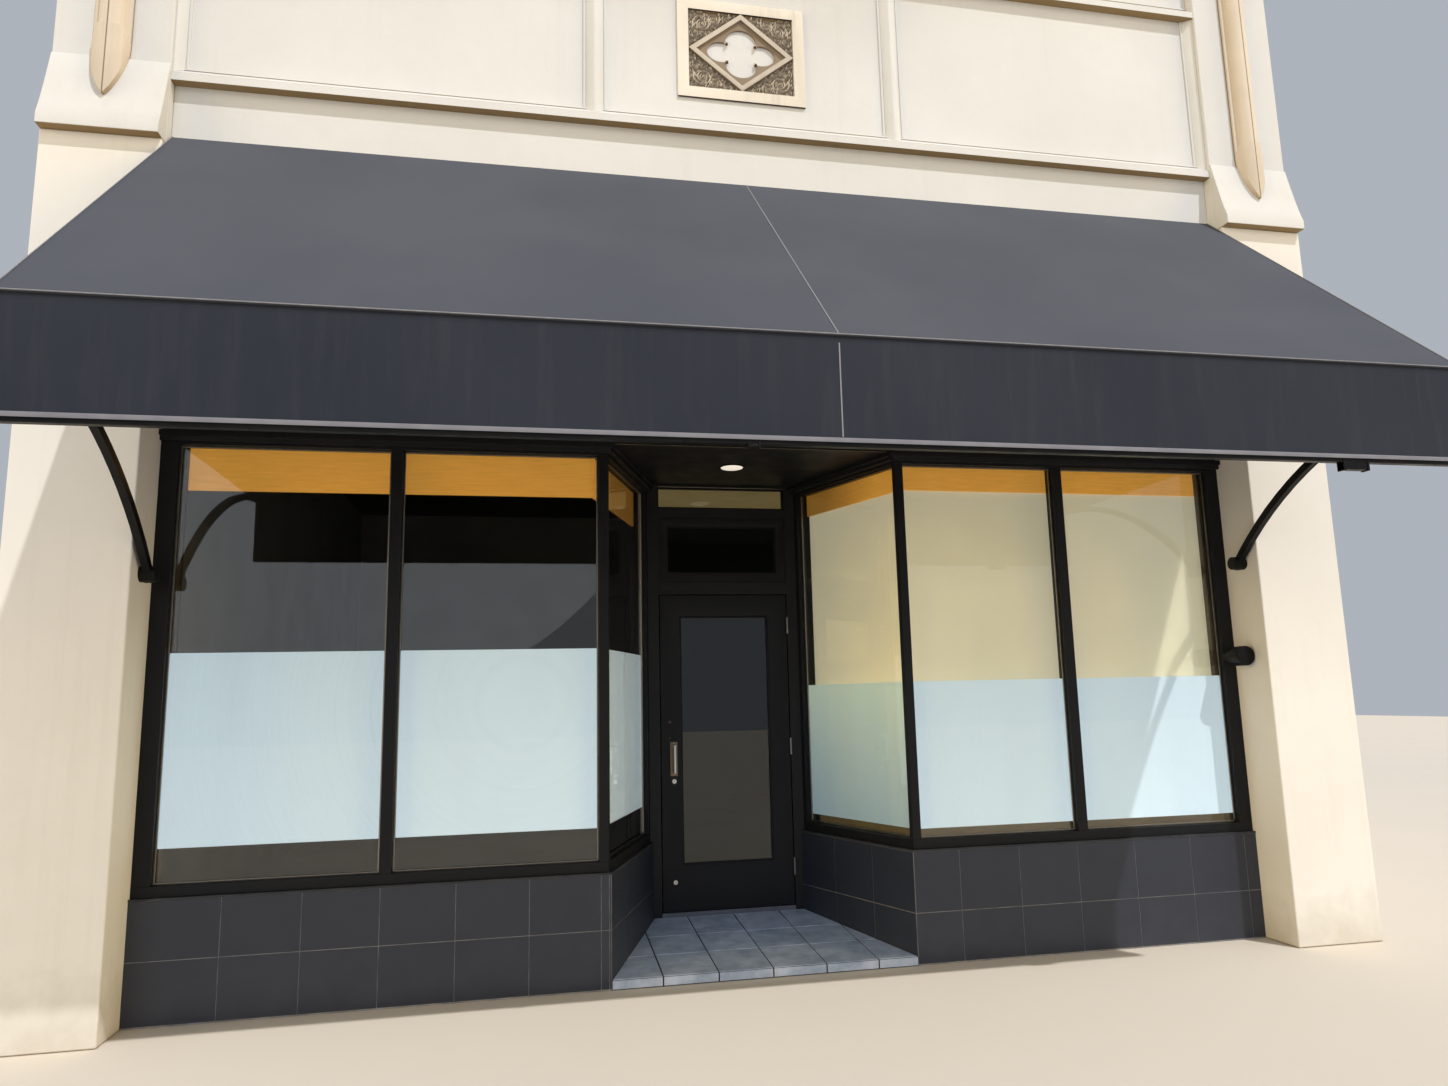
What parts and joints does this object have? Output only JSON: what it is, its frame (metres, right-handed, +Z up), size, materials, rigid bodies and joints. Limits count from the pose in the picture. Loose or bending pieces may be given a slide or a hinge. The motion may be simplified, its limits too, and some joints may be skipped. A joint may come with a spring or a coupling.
{
  "type": "row shop building",
  "caption": "Stucco row shop bay with recessed tiled shopfront, hinged glazed entry door, dark fabric awning and a panelled upper front with a pierced cast ornament.",
  "frame": {"origin": "on the ground, at the middle of the opening between the piers, in the plane of the entry door's outer face", "axes": "+X to the right along the street front as seen from the street, +Y into the shop, +Z up"},
  "size_m": [7.79, 10.816, 6.87],
  "materials": {
    "stucco": "sand-finished painted stucco",
    "cast_stone": "weathered cast stone",
    "concrete": "trowelled concrete",
    "black_frame": "satin black aluminium frame",
    "dark_tile": "matt charcoal wall tile",
    "floor_tile": "matt grey floor tile",
    "trim_metal": "thin brushed edge trim",
    "clear_glass": "clear float glass",
    "frosted_film": "frosted window film",
    "tan_board": "plain tan board",
    "cream_shade": "plain roller shade cloth",
    "soffit_board": "matt dark ceiling board",
    "lamp_white": "white diffuser and ring",
    "satin_steel": "satin door hardware",
    "threshold_metal": "worn mill aluminium",
    "awning_fabric": "woven charcoal awning cloth",
    "awning_metal": "black painted steel"
  },
  "bodies": {
    "building": {"pier_left": "stucco", "pier_right": "stucco", "pilaster_left": "stucco", "pilaster_right": "stucco", "skirt_blocks": "stucco", "pilaster_ribs": "stucco", "front_wall": "stucco", "panel_rails": "stucco", "panel_bars": "stucco", "ornament_frame": "cast_stone", "ornament_tracery": "cast_stone", "coping": "cast_stone", "party_wall_left": "stucco", "party_wall_right": "stucco", "rear_wall": "stucco", "roof_slab": "concrete", "floor_slab": "concrete", "bay_floors": "concrete", "entry_floor": "floor_tile", "bulkhead_left": "dark_tile", "bulkhead_right": "dark_tile", "bulkhead_splays": "dark_tile", "bulkhead_caps": "trim_metal", "bay_posts": "black_frame", "bay_rails": "black_frame", "bay_glass": "clear_glass", "window_film": "frosted_film", "window_pelmets": "tan_board", "roller_shades": "cream_shade", "shopfront_cornice": "black_frame", "entry_soffit": "soffit_board", "downlight": "lamp_white", "door_jambs": "black_frame", "door_head_bars": "black_frame", "transom_sash": "black_frame", "transom_panes": "clear_glass", "threshold": "threshold_metal", "hinge_frame_leaves": "satin_steel", "awning_cover": "awning_fabric", "awning_valance": "awning_fabric", "awning_ends": "awning_fabric", "awning_rails": "awning_metal", "awning_rafters": "awning_metal", "awning_arms": "awning_metal", "spot_lamp": "awning_metal"},
    "door": {"door_leaf": "black_frame", "door_glass": "clear_glass", "door_pull": "satin_steel", "door_locks": "satin_steel", "hinge_door_leaves": "satin_steel"}
  },
  "joints": [
    {"name": "door_hinge", "type": "hinge", "parent": "building", "child": "door", "pos_m": [0.5205, -0.009, 0], "axis": [0, 0, 1], "range_deg": [0, 90]}
  ]
}
